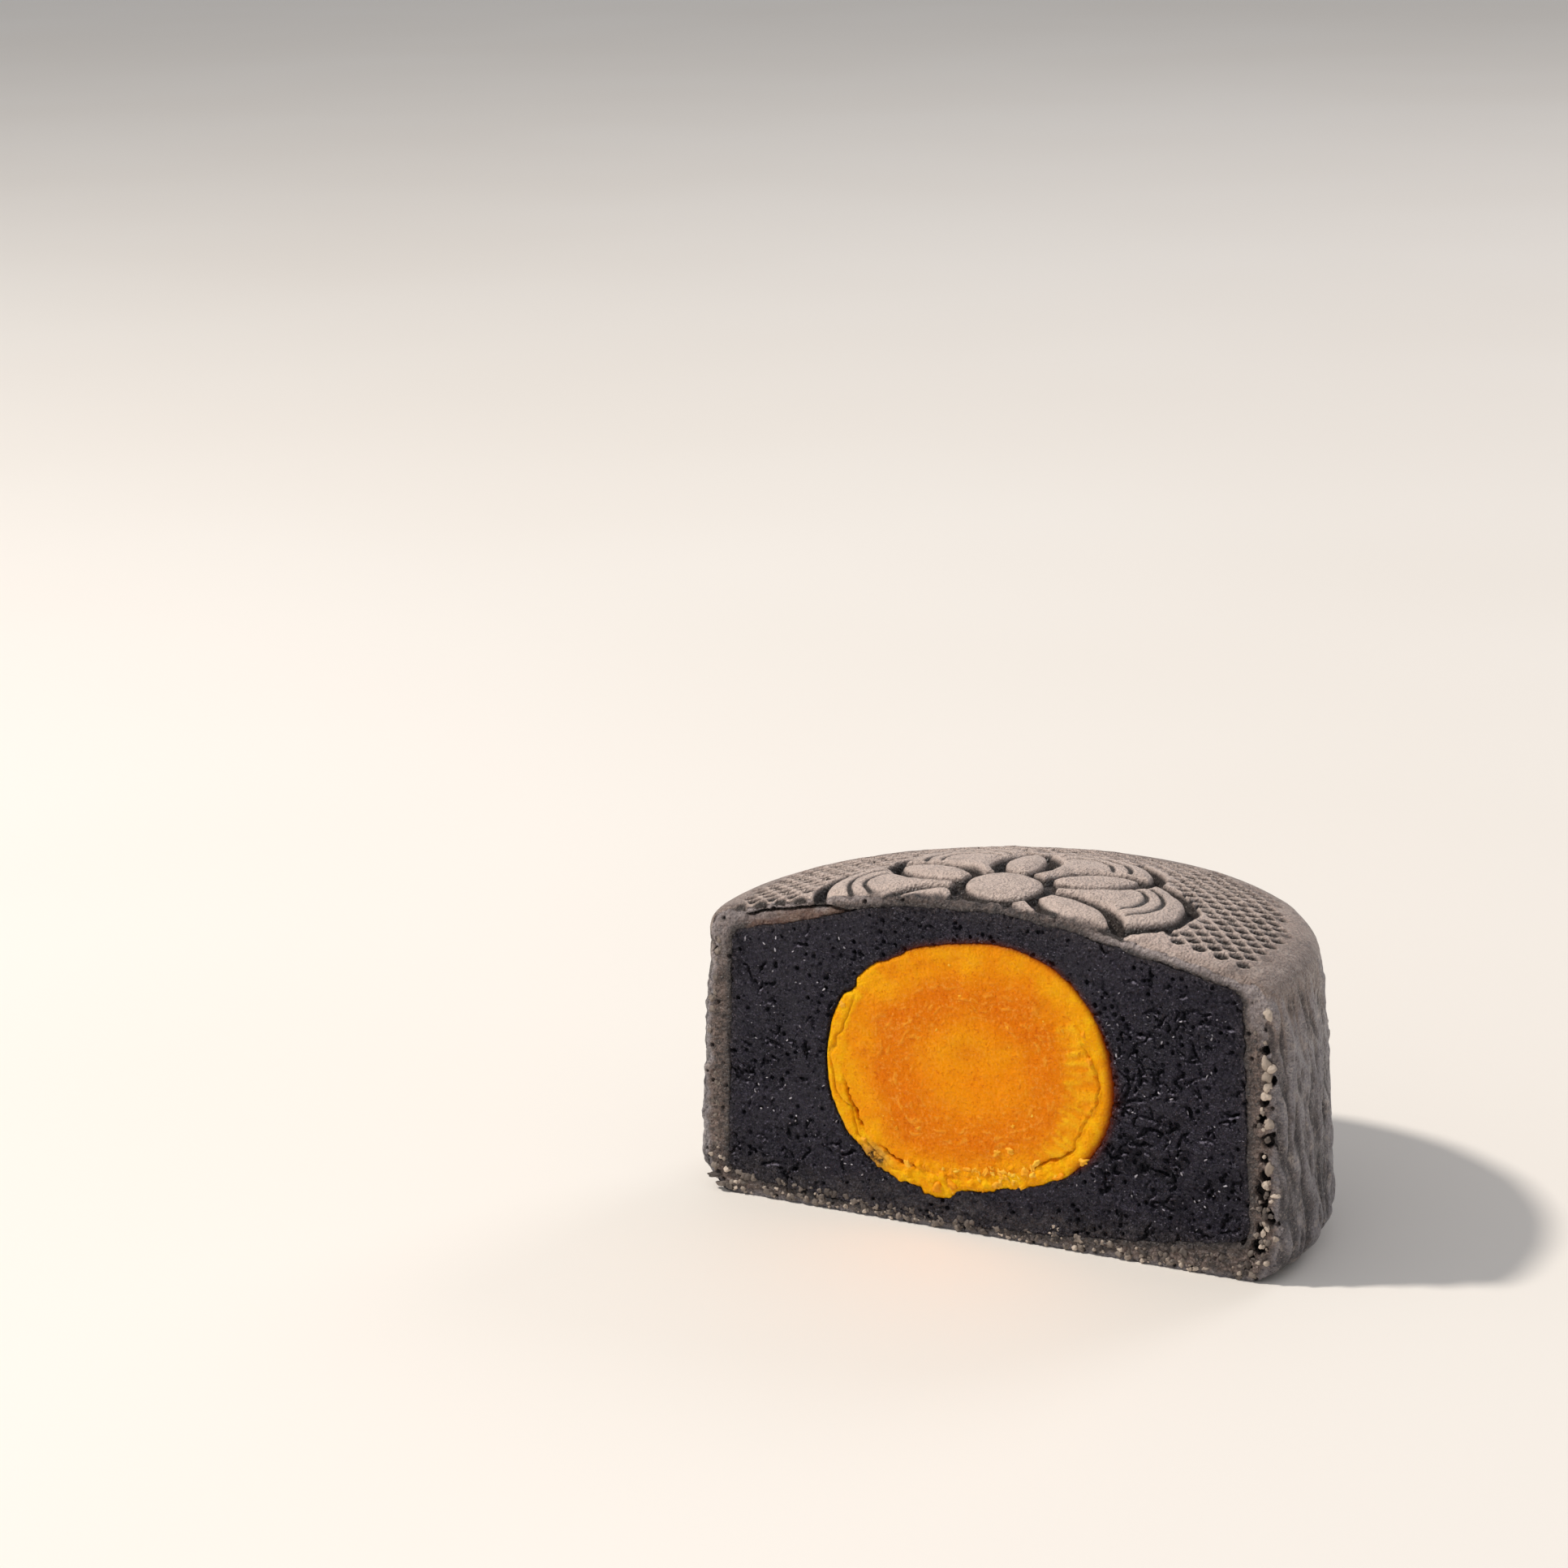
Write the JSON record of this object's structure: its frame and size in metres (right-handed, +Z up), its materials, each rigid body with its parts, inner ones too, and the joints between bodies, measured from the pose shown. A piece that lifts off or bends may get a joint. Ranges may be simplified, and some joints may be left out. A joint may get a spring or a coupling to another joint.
{
  "type": "cut black sesame mooncake",
  "caption": "Cut piece of a round mooncake: dark crust with a pressed top, black sesame filling and a salted egg yolk on the cut face.",
  "frame": {"origin": "on the surface that the cake stands on, in the middle of its outer box", "axes": "+X along the straight cut, +Y from the cut face towards the round back, +Z up through the pressed top"},
  "size_m": [0.062, 0.0364, 0.0335],
  "materials": {
    "crust": "baked grey-brown dough, matt with a faint oily bloom, grainy where cut",
    "filling": "blue-black sesame paste, fine grained and slightly oily",
    "yolk": "waxy orange yolk with a paler middle and a yellow outer skin"
  },
  "bodies": {
    "root": {"crust": "crust", "sesame_filling": "filling", "egg_yolk": "yolk"}
  },
  "joints": []
}
